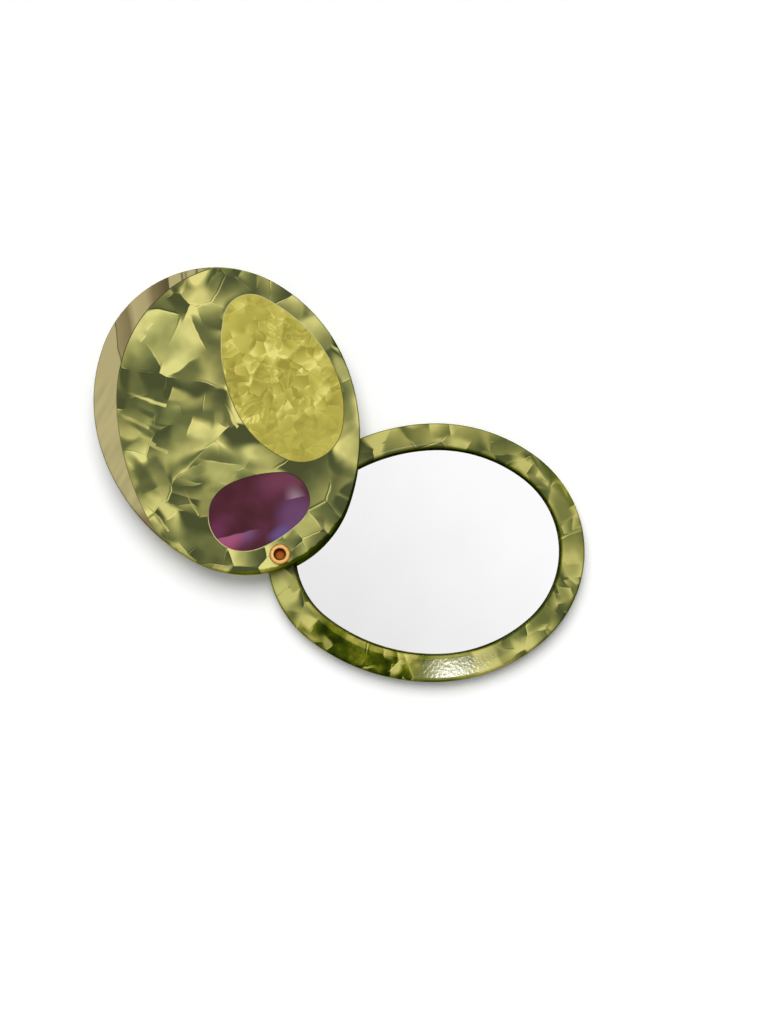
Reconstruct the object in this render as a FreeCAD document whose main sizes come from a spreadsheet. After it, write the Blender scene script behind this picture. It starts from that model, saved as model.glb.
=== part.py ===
import FreeCAD, Part
import math
import os
import Sketcher

# A swing compact mirror: an oval tray that holds a mirror, and an oval cover of inlaid
# pearl acetate that turns about one rivet at the end of the oval.
#
# Frame: millimetres, +Z up, origin in the middle of the tray's length on its underside.
# +X runs along the tray from the rivet to its free end. The cover stands open.

# Driving sizes, in millimetres and degrees.
SIZES = {
    # The oval of both plates: its widest section lies plate_swell past the middle, towards
    # the free end, and its end arcs turn by plate_shoulder to each side of the long axis.
    "plate_length": 84.0,
    "plate_width": 68.7,
    "plate_swell": 2.45,
    "plate_shoulder": 50.0,
    # The tray, a ring glued to a back panel. The ring's opening lies a little towards the free
    # end, which leaves more width at the rivet.
    "back_thickness": 1.8,
    "ring_thickness": 2.8,
    "ring_width": 6.7,
    "opening_shift": 0.45,
    "tray_edge_round": 0.8,
    "ring_inner_round": 1.0,
    # The mirror, glued to the back panel inside the ring.
    "glass_thickness": 1.6,
    "glass_gap": 0.3,
    "glass_bevel": 0.25,
    "pad_thickness": 0.2,
    "pad_inset": 1.5,
    # The cover, a face layer of inlaid pieces glued to a back panel.
    "cover_back_thickness": 2.0,
    "cover_face_thickness": 1.6,
    "cover_edge_round": 0.5,
    "open_angle": 109.0,
    "glue_line": 0.05,
    # The seam between the green face and the tan crescent: an oval as long and as wide as
    # the plate, but moved towards the rivet and the near edge, and turned. The crescent's two
    # sharp tips are trimmed along one straight line.
    "seam_swell": 5.24,
    "seam_shoulder": 65.7,
    "seam_back": 1.6,
    "seam_drop": 4.75,
    "seam_turn": -17.4,
    "tip_trim": 1.9,
    # The yellow oval, set from the rivet, from the free end and from the near edge. Its wide
    # end points at the rivet, but for a tilt.
    "yellow_start": 20.1,
    "yellow_end_margin": 11.8,
    "yellow_edge_margin": 3.75,
    "yellow_width": 28.3,
    "yellow_swell": 3.7,
    "yellow_shoulder": 52.7,
    "yellow_tilt": 6.0,
    # The purple pebble, set from the rivet's rim. It lies across the cover, but for a tilt.
    "purple_length": 27.5,
    "purple_width": 19.0,
    "purple_swell": 3.5,
    "purple_shoulder": 67.8,
    "purple_tilt": 2.0,
    "purple_rim_gap": 0.7,
    "purple_y": 0.9,
    # The rivet and its washer.
    "shank_radius": 1.95,
    "tube_wall": 0.42,
    "hollow_depth": 2.6,
    "rim_overhang": 0.8,
    "head_overhang": 0.65,
    "head_thickness": 0.7,
    "head_recess": 0.2,
    "head_round": 0.3,
    "washer_width": 0.7,
    "washer_thickness": 0.3,
    "pivot_clearance": 0.05,
    "running_gap": 0.05,
}

# Values that follow from the sizes, as formulas of the second sheet.
FOLLOWING = {
    "pivot_x": "(Sizes.ring_width + Sizes.opening_shift) / 2 - Sizes.plate_length / 2",
    "opening_end": "Sizes.plate_length / 2 - Sizes.ring_width + Sizes.opening_shift",
    "tray_top": "Sizes.back_thickness + Sizes.ring_thickness",
    "glass_base": "Sizes.back_thickness + Sizes.pad_thickness",
    "cover_base": "tray_top + Sizes.washer_thickness + Sizes.running_gap",
    "face_base": "cover_base + Sizes.cover_back_thickness",
    "rim_base": "face_base + Sizes.cover_face_thickness + Sizes.running_gap",
    "head_top": "Sizes.head_recess + Sizes.head_thickness",
    "hole_radius": "Sizes.shank_radius + Sizes.pivot_clearance",
    "washer_radius": "hole_radius + Sizes.washer_width",
    "head_radius": "Sizes.shank_radius + Sizes.head_overhang",
    "seat_radius": "head_radius + Sizes.pivot_clearance",
    "rim_radius": "Sizes.shank_radius + Sizes.rim_overhang",
    "hollow_radius": "Sizes.shank_radius - Sizes.tube_wall",
    "hollow_floor": "rim_base - Sizes.hollow_depth",
    "swing_x": "pivot_x * (1 - cos(Sizes.open_angle))",
    "swing_y": "-pivot_x * sin(Sizes.open_angle)",
    "yellow_near_x": "pivot_x + Sizes.yellow_start",
    "yellow_far_x": "Sizes.plate_length / 2 - Sizes.yellow_end_margin",
    "yellow_length": "yellow_far_x - yellow_near_x",
    "yellow_x": "(yellow_near_x + yellow_far_x) / 2",
    "yellow_y": "Sizes.yellow_edge_margin + Sizes.yellow_width / 2 - Sizes.plate_width / 2",
    "yellow_turn": "180 + Sizes.yellow_tilt",
    "purple_x": "pivot_x + rim_radius + Sizes.purple_rim_gap + Sizes.purple_width / 2",
    "purple_turn": "90 + Sizes.purple_tilt",
}

# Each oval's length, width, swell, shoulder and, where it isn't the plate's own, its place.
# The ring's opening, the mirror and its adhesive are insets of the opening's oval.
OVALS = {
    "plate": {
        "length": "Sizes.plate_length",
        "width": "Sizes.plate_width",
        "swell": "Sizes.plate_swell",
        "shoulder": "Sizes.plate_shoulder",
    },
    "opening": {
        "length": "Sizes.plate_length",
        "width": "Sizes.plate_width",
        "swell": "Sizes.plate_swell",
        "shoulder": "Sizes.plate_shoulder",
        "place": ("Sizes.opening_shift", "0", "0"),
    },
    "seam": {
        "length": "Sizes.plate_length",
        "width": "Sizes.plate_width",
        "swell": "Sizes.seam_swell",
        "shoulder": "Sizes.seam_shoulder",
        "place": ("-Sizes.seam_back", "-Sizes.seam_drop", "Sizes.seam_turn"),
    },
    "yellow": {
        "length": "Derived.yellow_length",
        "width": "Sizes.yellow_width",
        "swell": "Sizes.yellow_swell",
        "shoulder": "Sizes.yellow_shoulder",
        "place": ("Derived.yellow_x", "Derived.yellow_y", "Derived.yellow_turn"),
    },
    "purple": {
        "length": "Sizes.purple_length",
        "width": "Sizes.purple_width",
        "swell": "Sizes.purple_swell",
        "shoulder": "Sizes.purple_shoulder",
        "place": ("Derived.purple_x", "Sizes.purple_y", "Derived.purple_turn"),
    },
}

TOUCH = 1e-4  # how closely an edge lies at a height to count as being there

doc = FreeCAD.newDocument("CompactMirror")


def fill_sheet(name, cells):
    """A sheet of aliased cells, one below the other."""
    sheet = doc.addObject("Spreadsheet::Sheet", name)
    for row, (alias, content) in enumerate(cells.items(), start=1):
        sheet.set(f"A{row}", alias)
        sheet.set(f"B{row}", content)
        sheet.setAlias(f"B{row}", alias)


def end_arc_formulas():
    """Each end arc's centre on the long axis and its radius, so that it meets the side arcs
    of the oval's width at the shoulder. The head lies along +X, the tail along -X."""
    cells = {}
    for name, oval in OVALS.items():
        half_length, half_width = f"{oval['length']} / 2", f"{oval['width']} / 2"
        spread = f"(1 - 1 / cos({oval['shoulder']}) + tan({oval['shoulder']}))"
        for end, away, back in (("head", "+", "-"), ("tail", "-", "+")):
            reach = f"({half_length} {back} {oval['swell']})"
            arm = f"({reach} - {half_width}) / {spread}"
            cells[f"{name}_{end}_x"] = f"={oval['swell']} {away} {arm}"
            cells[f"{name}_{end}_radius"] = f"={reach} - {arm}"
    return cells


def value_of(expression):
    """The number that an expression of the sheets' cells comes to."""
    return float(doc.getObject("Sizes").evalExpression(expression))


def oval_arcs(name):
    """The six arcs of an oval about its own middle, from the head end round by +Y."""
    oval = OVALS[name]
    half_width = value_of(oval["width"]) / 2
    swell, turn = value_of(oval["swell"]), math.radians(value_of(oval["shoulder"]))
    head_x, head_radius = value_of(f"EndArcs.{name}_head_x"), value_of(f"EndArcs.{name}_head_radius")
    tail_x, tail_radius = value_of(f"EndArcs.{name}_tail_x"), value_of(f"EndArcs.{name}_tail_radius")
    head_drop, tail_drop = (head_x - swell) * math.tan(turn), (swell - tail_x) * math.tan(turn)
    half_turn = math.pi
    arcs = [
        (head_x, 0, head_radius, -turn, turn),
        (swell, -head_drop, head_drop + half_width, turn, half_turn / 2),
        (swell, -tail_drop, tail_drop + half_width, half_turn / 2, half_turn - turn),
        (tail_x, 0, tail_radius, half_turn - turn, half_turn + turn),
        (swell, tail_drop, tail_drop + half_width, half_turn + turn, half_turn * 1.5),
        (swell, head_drop, head_drop + half_width, half_turn * 1.5, half_turn * 2 - turn),
    ]
    upwards = FreeCAD.Vector(0, 0, 1)
    circles = [Part.Circle(FreeCAD.Vector(x, y, 0), upwards, radius) for x, y, radius, start, end in arcs]
    return [Part.ArcOfCircle(circle, *arc[3:]) for circle, arc in zip(circles, arcs)]


def tip_line():
    """The line through the points where the seam crosses the plate's outline: its turn, and
    its distance from the plate's middle on the crescent's side."""
    outline = Part.Wire([arc.toShape() for arc in oval_arcs("plate")])
    seam = Part.Wire([arc.toShape() for arc in oval_arcs("seam")])
    along, across, angle = (value_of(item) for item in OVALS["seam"]["place"])
    upwards = FreeCAD.Vector(0, 0, 1)
    seam.Placement = FreeCAD.Placement(FreeCAD.Vector(along, across, 0), FreeCAD.Rotation(upwards, angle))
    tips = sorted((vertex.Point for vertex in outline.section(seam).Vertexes), key=lambda tip: tip.x)
    run = tips[-1] - tips[0]
    distance = (run.x * tips[0].y - run.y * tips[0].x) / run.Length
    return {"turn": str(math.degrees(math.atan2(run.y, run.x))), "distance": str(distance)}


fill_sheet("Sizes", {alias: str(value) for alias, value in SIZES.items()})
fill_sheet("Derived", {alias: f"={formula}" for alias, formula in FOLLOWING.items()})
fill_sheet("EndArcs", end_arc_formulas())
doc.recompute()
fill_sheet("TipLine", tip_line())
doc.recompute()


def new_body(label, height="0", swings=False, at_pivot=False):
    """A body at a height: on the tray's axes, at the rivet, or swung open with the cover."""
    body = doc.addObject("PartDesign::Body", label)
    body.Label = label
    body.setExpression("Placement.Base.z", height)
    if at_pivot:
        body.setExpression("Placement.Base.x", "Derived.pivot_x")
    if swings:
        body.setExpression("Placement.Base.x", "Derived.swing_x")
        body.setExpression("Placement.Base.y", "Derived.swing_y")
        body.setExpression("Placement.Rotation.Angle", "Sizes.open_angle")
    return body


def new_sketch(body, name, role="XY_Plane"):
    """An empty sketch on one of the body's own planes."""
    sketch = body.newObject("Sketcher::SketchObject", f"{body.Label}_{name}")
    plane = next(item for item in body.Origin.OriginFeatures if item.Role == role)
    sketch.AttachmentSupport = (plane, [""])
    sketch.MapMode = "FlatFace"
    return sketch


def hold(sketch, kind, *where, formula):
    """A constraint whose value follows a formula."""
    index = sketch.addConstraint(Sketcher.Constraint(kind, *where, value_of(formula)))
    sketch.setExpression(f"Constraints[{index}]", formula)


def draw_oval(sketch, name, inset="0"):
    """An oval of six tangent arcs, drawn an inset within the named one, from the same centres."""
    oval, arcs = OVALS[name], oval_arcs(name)
    sketch.addGeometry(arcs)
    head_end, head_top, tail_top, tail_end, tail_low, head_low = range(len(arcs))
    for this in range(len(arcs)):
        sketch.addConstraint(Sketcher.Constraint("Tangent", this, 2, (this + 1) % len(arcs), 1))
    for arc, end in ((head_end, "head"), (tail_end, "tail")):
        sketch.addConstraint(Sketcher.Constraint("PointOnObject", arc, 3, -1))
        hold(sketch, "DistanceX", -1, 1, arc, 3, formula=f"EndArcs.{name}_{end}_x")
        hold(sketch, "Radius", arc, formula=f"EndArcs.{name}_{end}_radius - ({inset})")
    for side in (head_top, tail_top, tail_low, head_low):
        hold(sketch, "DistanceX", -1, 1, side, 3, formula=oval["swell"])
    hold(sketch, "DistanceY", -1, 1, head_top, 2, formula=f"{oval['width']} / 2 - ({inset})")
    hold(sketch, "DistanceY", tail_low, 2, -1, 1, formula=f"{oval['width']} / 2 - ({inset})")
    if "place" in oval:
        along, across, angle = oval["place"]
        sketch.setExpression("AttachmentOffset.Base.x", along)
        sketch.setExpression("AttachmentOffset.Base.y", across)
        sketch.setExpression("AttachmentOffset.Rotation.Angle", angle)


def draw_circle(sketch, radius, centre_x=None):
    """A circle about the origin, or about a point on the X axis."""
    circle = sketch.addGeometry(Part.Circle(FreeCAD.Vector(), FreeCAD.Vector(0, 0, 1), value_of(radius)))
    hold(sketch, "Radius", circle, formula=radius)
    if centre_x is None:
        sketch.addConstraint(Sketcher.Constraint("Coincident", circle, 3, -1, 1))
        return
    sketch.addConstraint(Sketcher.Constraint("PointOnObject", circle, 3, -1))
    hold(sketch, "DistanceX", -1, 1, circle, 3, formula=centre_x)


def draw_band(sketch, reach, top):
    """A rectangle about the Y axis, from a reach below the origin up to a top edge."""
    side, high = value_of(reach), value_of(top)
    corners = [(-side, -side), (side, -side), (side, high), (-side, high)]
    points = [FreeCAD.Vector(x, y, 0) for x, y in corners]
    for index, point in enumerate(points):
        sketch.addGeometry(Part.LineSegment(point, points[(index + 1) % 4]))
    for index, kind in enumerate(("Horizontal", "Vertical", "Horizontal", "Vertical")):
        sketch.addConstraint(Sketcher.Constraint("Coincident", index, 2, (index + 1) % 4, 1))
        sketch.addConstraint(Sketcher.Constraint(kind, index))
    hold(sketch, "DistanceX", 0, 1, -1, 1, formula=reach)
    hold(sketch, "DistanceY", 0, 1, -1, 1, formula=reach)
    hold(sketch, "DistanceX", -1, 1, 2, 1, formula=reach)
    hold(sketch, "DistanceY", -1, 1, 2, 1, formula=top)


def pad(body, sketch, thickness):
    """Material above the sketch."""
    feature = body.newObject("PartDesign::Pad", f"{body.Label}_pad")
    feature.Profile = sketch
    feature.setExpression("Length", thickness)
    doc.recompute()
    return feature


def cut(body, sketch, depth=None):
    """A cut upwards from the sketch, right through or to a depth, that must take material."""
    before = body.Shape.Volume
    feature = body.newObject("PartDesign::Pocket", f"{sketch.Label}_cut")
    feature.Profile = sketch
    feature.Reversed = True
    if depth is None:
        feature.Type = "ThroughAll"
    else:
        feature.setExpression("Length", depth)
    doc.recompute()
    if body.Shape.Volume >= before:
        raise RuntimeError(f"{sketch.Label} cuts nothing")
    return feature


def level_edges(feature, height, half_length=math.inf):
    """Names of the feature's edges that lie flat at a height, within a reach along X."""
    names = []
    for index, edge in enumerate(feature.Shape.Edges, start=1):
        box = edge.BoundBox
        flat = abs(box.ZMin - height) < TOUCH and abs(box.ZMax - height) < TOUCH
        if flat and max(abs(box.XMin), abs(box.XMax)) < half_length + TOUCH:
            names.append(f"Edge{index}")
    return names


def soften(body, feature, edges, size, kind="Fillet"):
    """A fillet or a chamfer along the named edges."""
    softened = body.newObject(f"PartDesign::{kind}", f"{body.Label}_{kind}")
    softened.Base = (feature, edges)
    softened.setExpression("Radius" if kind == "Fillet" else "Size", size)
    doc.recompute()
    return softened


def oval_plate(body, thickness, inset="0", name="plate"):
    """A plate of an oval outline."""
    outline = new_sketch(body, "outline")
    draw_oval(outline, name, inset)
    return pad(body, outline, thickness)


def cut_rivet_hole(body):
    """The hole that the rivet's shank passes through."""
    hole = new_sketch(body, "rivet_hole")
    draw_circle(hole, "Derived.hole_radius", "Derived.pivot_x")
    cut(body, hole)


def cut_oval(body, name, outset):
    """An opening of the shape of a named oval, wider by an outset all round."""
    opening = new_sketch(body, f"{name}_opening")
    draw_oval(opening, name, f"-{outset}")
    cut(body, opening)


def make_tray_back():
    """The panel under the ring, with a seat in its underside for the rivet's head."""
    body = new_body("tray_back_panel")
    plate = oval_plate(body, "Sizes.back_thickness")
    soften(body, plate, level_edges(plate, 0), "Sizes.tray_edge_round")
    cut_rivet_hole(body)
    seat = new_sketch(body, "head_seat")
    draw_circle(seat, "Derived.seat_radius", "Derived.pivot_x")
    cut(body, seat, "Derived.head_top")
    return body


def make_ring():
    """The ring that frames the mirror, rounded on both upper edges."""
    body = new_body("mirror_frame_ring", "Sizes.back_thickness")
    plate = oval_plate(body, "Sizes.ring_thickness")
    top = value_of("Sizes.ring_thickness")
    soften(body, plate, level_edges(plate, top), "Sizes.tray_edge_round")
    opening = new_sketch(body, "opening")
    draw_oval(opening, "opening", "Sizes.ring_width")
    pierced = cut(body, opening)
    inner_edges = level_edges(pierced, top, value_of("Derived.opening_end"))
    soften(body, pierced, inner_edges, "Sizes.ring_inner_round")
    cut_rivet_hole(body)
    return body


def make_pad():
    """The sheet of adhesive under the mirror."""
    body = new_body("mirror_adhesive_pad", "Sizes.back_thickness")
    inset = "Sizes.ring_width + Sizes.glass_gap + Sizes.pad_inset"
    oval_plate(body, "Sizes.pad_thickness", inset, "opening")
    return body


def make_glass():
    """The mirror, with its upper edge ground to a narrow bevel."""
    body = new_body("mirror_glass", "Derived.glass_base")
    plate = oval_plate(body, "Sizes.glass_thickness", "Sizes.ring_width + Sizes.glass_gap", "opening")
    edges = level_edges(plate, value_of("Sizes.glass_thickness"))
    soften(body, plate, edges, "Sizes.glass_bevel", "Chamfer")
    return body


def make_cover_back():
    """The panel under the inlaid face."""
    body = new_body("cover_back_panel", "Derived.cover_base", swings=True)
    plate = oval_plate(body, "Sizes.cover_back_thickness")
    soften(body, plate, level_edges(plate, 0), "Sizes.cover_edge_round")
    cut_rivet_hole(body)
    return body


def rounded_face_plate(label):
    """A whole plate of the face layer, rounded on its upper edge, for its pieces to be cut from."""
    body = new_body(label, "Derived.face_base", swings=True)
    plate = oval_plate(body, "Sizes.cover_face_thickness")
    edges = level_edges(plate, value_of("Sizes.cover_face_thickness"))
    soften(body, plate, edges, "Sizes.cover_edge_round")
    return body


def trim_to_crescent(body, gap):
    """Cuts a whole plate back to the crescent, a gap clear of the seam and of the trimmed tips."""
    cut_oval(body, "seam", gap)
    inside = new_sketch(body, "tip_line")
    draw_band(inside, "Sizes.plate_length", f"TipLine.distance + Sizes.tip_trim + {gap}")
    inside.setExpression("AttachmentOffset.Rotation.Angle", "TipLine.turn")
    cut(body, inside)


def make_crescent():
    """The tan crescent."""
    body = rounded_face_plate("crescent_inlay")
    trim_to_crescent(body, "Sizes.glue_line")
    return body


def make_cover_face():
    """The green face, with openings for the inlays and without the crescent's place."""
    blank = rounded_face_plate("cover_face_blank")
    cut_oval(blank, "yellow", "Sizes.glue_line")
    cut_oval(blank, "purple", "Sizes.glue_line")
    cut_rivet_hole(blank)
    crescent_place = new_body("crescent_place", "Derived.face_base", swings=True)
    oval_plate(crescent_place, "Sizes.cover_face_thickness", "-Sizes.cover_edge_round")
    trim_to_crescent(crescent_place, "0")
    face = doc.addObject("Part::Cut", "cover_face_panel")
    face.Base = blank
    face.Tool = crescent_place
    doc.recompute()
    return face


def make_inlay(name):
    """An inlay that fills its opening in the face."""
    body = new_body(f"{name}_inlay", "Derived.face_base", swings=True)
    oval_plate(body, "Sizes.cover_face_thickness", name=name)
    return body


def make_washer():
    """The thin washer that keeps the two plates apart at the rivet."""
    body = new_body("pivot_spacer_washer", "Derived.tray_top", at_pivot=True)
    outline = new_sketch(body, "outline")
    draw_circle(outline, "Derived.washer_radius")
    draw_circle(outline, "Derived.hole_radius")
    pad(body, outline, "Sizes.washer_thickness")
    return body


def make_rivet():
    """The rivet: a flat head below, and a hollow end rolled outwards over the cover."""
    body = new_body("pivot_rivet", at_pivot=True)
    profile = new_sketch(body, "profile", "XZ_Plane")
    corners = [
        (None, "Sizes.head_recess"),
        ("Derived.head_radius", "Sizes.head_recess"),
        ("Derived.head_radius", "Derived.head_top"),
        ("Sizes.shank_radius", "Derived.head_top"),
        ("Sizes.shank_radius", "Derived.rim_base"),
        ("Derived.rim_radius", "Derived.rim_base"),
        ("Derived.hollow_radius", "Derived.rim_base"),
        ("Derived.hollow_radius", "Derived.hollow_floor"),
        (None, "Derived.hollow_floor"),
    ]
    points = [FreeCAD.Vector(value_of(x) if x else 0, value_of(z), 0) for x, z in corners]
    roll = 5
    for index, start in enumerate(points):
        end = points[(index + 1) % len(points)]
        if index == roll:
            middle = (start + end) / 2
            crown = middle + FreeCAD.Vector(0, start.distanceToPoint(middle), 0)
            profile.addGeometry(Part.Arc(start, crown, end))
        else:
            profile.addGeometry(Part.LineSegment(start, end))
    for index, (x, z) in enumerate(corners):
        before = (index - 1) % len(corners)
        profile.addConstraint(Sketcher.Constraint("Coincident", before, 2, index, 1))
        hold(profile, "DistanceY", -1, 1, index, 1, formula=z)
        if x:
            hold(profile, "DistanceX", -1, 1, index, 1, formula=x)
        else:
            profile.addConstraint(Sketcher.Constraint("PointOnObject", index, 1, -2))
    hold(profile, "DistanceY", -1, 1, roll, 3, formula="Derived.rim_base")
    turned = body.newObject("PartDesign::Revolution", "rivet_turned")
    turned.Profile = profile
    turned.ReferenceAxis = (profile, ["V_Axis"])
    turned.Angle = 360
    doc.recompute()
    soften(body, turned, level_edges(turned, value_of("Sizes.head_recess")), "Sizes.head_round")
    return body


def check(bodies):
    """Stops at any failed object, and at any piece that isn't one valid solid."""
    for item in doc.Objects:
        if "Invalid" in item.State or "Error" in item.State:
            raise RuntimeError(f"{item.Label} failed: {item.State}")
    for body in bodies:
        shape = body.Shape
        if shape.isNull() or not shape.isValid() or len(shape.Solids) != 1:
            raise RuntimeError(f"{body.Label} isn't one valid solid")


pieces = [
    make_tray_back(),
    make_ring(),
    make_pad(),
    make_glass(),
    make_cover_back(),
    make_cover_face(),
    make_crescent(),
    make_inlay("yellow"),
    make_inlay("purple"),
    make_washer(),
    make_rivet(),
]
doc.recompute()
check(pieces)

os.makedirs("parts", exist_ok=True)
for piece in pieces:
    piece.Shape.exportStep(f"parts/{piece.Label}.step")
    print(piece.Label, round(piece.Shape.Volume, 2), "mm3")
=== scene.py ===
import math

import bpy
from mathutils import Matrix, Vector
from mathutils.bvhtree import BVHTree


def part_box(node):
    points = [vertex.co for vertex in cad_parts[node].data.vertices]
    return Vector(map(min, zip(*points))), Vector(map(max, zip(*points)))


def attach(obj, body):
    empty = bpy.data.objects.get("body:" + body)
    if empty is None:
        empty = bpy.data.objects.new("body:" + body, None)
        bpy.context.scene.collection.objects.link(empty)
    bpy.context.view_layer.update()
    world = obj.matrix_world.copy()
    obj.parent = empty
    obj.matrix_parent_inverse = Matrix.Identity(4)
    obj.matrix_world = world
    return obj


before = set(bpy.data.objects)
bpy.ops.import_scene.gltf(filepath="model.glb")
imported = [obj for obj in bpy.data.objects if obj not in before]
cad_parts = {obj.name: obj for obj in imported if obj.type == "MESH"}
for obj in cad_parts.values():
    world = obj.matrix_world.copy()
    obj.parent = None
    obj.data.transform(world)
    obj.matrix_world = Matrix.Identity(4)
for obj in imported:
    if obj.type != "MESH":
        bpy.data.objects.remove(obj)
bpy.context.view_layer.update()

# Lengths are in metres in the scene, and in millimetres in the materials.
MM = 0.001
WHITE = (1, 1, 1, 1)


def paint(red, green, blue):
    """A colour given as it looks on a screen, from 0 to 255, as the shader takes it."""
    def linear(level):
        share = level / 255
        return share / 12.92 if share <= 0.04045 else ((share + 0.055) / 1.055) ** 2.4
    return (linear(red), linear(green), linear(blue), 1.0)


def middle_of(node):
    low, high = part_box(node)
    return (Vector(low) + Vector(high)) / 2


def half_size_of(node):
    low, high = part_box(node)
    return (Vector(high) - Vector(low)) / 2


# Node graphs

# A pair whose name ends in FADE holds the values at which a soft step starts and is full. For walls
# they are levels of the normal's upright part.
WALL_FADE = (0.95, 0.5)
# The acetate's roughness, and the strength and roughness of its polish.
ACETATE_ROUGHNESS = 0.4
POLISH = 0.32
POLISH_ROUGHNESS = 0.08
# Half the distance over which a gleam's crisp end fades, in millimetres.
CRISP = 0.15


class Graph:
    """The nodes of a material or a world. Most methods add nodes and give back what comes out of them."""

    def __init__(self, owner):
        owner.use_nodes = True
        self.owner = owner
        self.tree = owner.node_tree

    def feed(self, socket, value):
        if isinstance(value, bpy.types.NodeSocket):
            self.tree.links.new(value, socket)
        else:
            socket.default_value = value

    def add(self, kind, inputs, **settings):
        """Adds a node and gives back the node itself."""
        node = self.tree.nodes.new(kind)
        for name, value in settings.items():
            setattr(node, name, value)
        for name, value in inputs.items():
            self.feed(node.inputs[name], value)
        return node

    def math(self, operation, first, second=0.0, third=0.0):
        return self.add("ShaderNodeMath", {0: first, 1: second, 2: third}, operation=operation).outputs[0]

    def vector(self, operation, first, second=(0, 0, 0)):
        node = self.add("ShaderNodeVectorMath", {0: first, 1: second}, operation=operation)
        scalar = operation in ("DOT_PRODUCT", "LENGTH", "DISTANCE")
        return node.outputs["Value" if scalar else "Vector"]

    def scaled(self, vector, factor):
        inputs = {0: vector, "Scale": factor}
        return self.add("ShaderNodeVectorMath", inputs, operation="SCALE").outputs["Vector"]

    def turned(self, vector, angle):
        """A vector turned about the upright axis, by an angle in radians."""
        inputs = {"Vector": vector, "Angle": angle}
        return self.add("ShaderNodeVectorRotate", inputs, rotation_type="Z_AXIS").outputs[0]

    def split(self, vector):
        return self.add("ShaderNodeSeparateXYZ", {0: vector}).outputs

    def join(self, x, y, z):
        return self.add("ShaderNodeCombineXYZ", {0: x, 1: y, 2: z}).outputs[0]

    def noise(self, where, size, detail=2.0):
        inputs = {"Vector": where, "Scale": 1 / size, "Detail": detail, "Roughness": 0.5}
        return self.add("ShaderNodeTexNoise", inputs).outputs

    def cells(self, where, size, feature, **inputs):
        inputs = {"Vector": where, "Scale": 1 / size, **inputs}
        return self.add("ShaderNodeTexVoronoi", inputs, feature=feature, voronoi_dimensions="2D").outputs

    def span(self, value, low, high, first=0.0, last=1.0, smooth=False):
        """The first number at the low value, the last at the high one, and even steps between."""
        inputs = {"Value": value, "From Min": low, "From Max": high, "To Min": first, "To Max": last}
        kind = "SMOOTHSTEP" if smooth else "LINEAR"
        return self.add("ShaderNodeMapRange", inputs, interpolation_type=kind).outputs[0]

    def rise(self, value, low, high):
        """A soft step from 0 at the low value to 1 at the high one."""
        return self.span(value, low, high, smooth=True)

    def blend(self, share, first, second):
        """The first number where the share is 0, and the second where it is 1."""
        return self.add("ShaderNodeMix", {0: share, 2: first, 3: second}).outputs[0]

    def mix(self, share, first, second, blend_type="MIX"):
        """The first colour where the share is 0, and the second where it is 1."""
        inputs = {0: share, 6: first, 7: second}
        return self.add("ShaderNodeMix", inputs, data_type="RGBA", blend_type=blend_type).outputs[2]

    def ramp(self, share, colours):
        """Colours spread by their places from 0 to 1."""
        node = self.add("ShaderNodeValToRGB", {0: share})
        stops = node.color_ramp.elements
        while len(stops) < len(colours):
            stops.new(0.5)
        for stop, (place, colour) in zip(stops, colours):
            stop.position = place
            stop.color = colour
        return node.outputs[0]

    def bump(self, height, depth):
        """A normal for a height from 0 to 1 over a depth in millimetres."""
        return self.add("ShaderNodeBump", {"Height": height, "Distance": depth * MM}).outputs[0]

    def place(self):
        """Millimetres along the frame's axes, with the cover open."""
        return self.scaled(self.add("ShaderNodeTexCoord", {}).outputs["Object"], 1 / MM)

    def wall(self, fade=WALL_FADE):
        """0 on a level top and 1 on a wall."""
        normal = self.add("ShaderNodeNewGeometry", {}).outputs["Normal"]
        return self.rise(self.math("ABSOLUTE", self.split(normal)[2]), *fade)

    def bent(self, where, bends, size=1.0):
        """Moves places about by one noise after the other. Each bend is the size of a noise and its
        reach, of which it moves them by up to about half. Both are in shares of the size."""
        for noise_size, reach in bends:
            shift = self.vector("SUBTRACT", self.noise(where, noise_size * size)[1], (0.5, 0.5, 0.5))
            where = self.vector("ADD", where, self.scaled(shift, reach * size))
        return where

    def local(self, where, spot, turn, reach):
        """A place as seen from a spot, turned by some degrees, in shares of the reach."""
        inputs = {
            "Vector": where,
            "Location": (*spot, 0),
            "Rotation": (0, 0, math.radians(turn)),
            "Scale": (*reach, 1),
        }
        return self.add("ShaderNodeMapping", inputs, vector_type="TEXTURE").outputs[0]

    def glow(self, where, spot, turn, reach):
        """A soft oval about a spot: 1 in its middle and 0 at its rim."""
        level = self.vector("MULTIPLY", where, (1, 1, 0))
        return self.rise(self.vector("LENGTH", self.local(level, spot, turn, reach)), 1, 0.2)

    def gleam(self, where, spot, turn, reach, blur):
        """A gleam about a spot, with half its length and width as its reach: straight and crisp at its
        far end, and rounded elsewhere, where it fades over the blur. Gives its share of a point, how
        far along it the point lies, from -1 to 1, and the point's height, unchanged."""
        along, across, height = self.split(self.local(where, spot, turn, reach))
        depth = self.math("MULTIPLY_ADD", along, -0.5, 0.5)
        radius = self.vector("LENGTH", self.join(depth, across, 0.0))
        crisp = CRISP / reach[0]
        front = self.rise(along, 1 + crisp, 1 - crisp)
        return self.math("MULTIPLY", self.rise(radius, 1, 1 - blur), front), along, height

    def finish(self, **inputs):
        """Sets the surface shader's own inputs, whose names have underscores for spaces here. Gives the
        material."""
        shader = self.tree.nodes["Principled BSDF"]
        for name, value in inputs.items():
            self.feed(shader.inputs[name.replace("_", " ")], value)
        return self.owner

    def polished(self, colour, dull, **inputs):
        """Acetate with a polish, but for its dull places."""
        return self.finish(
            Base_Color=colour,
            Roughness=ACETATE_ROUGHNESS,
            Specular_IOR_Level=0.0,
            Coat_Weight=self.span(dull, 0, 1, POLISH, 0.0),
            Coat_Roughness=POLISH_ROUGHNESS,
            **inputs,
        )

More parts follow.
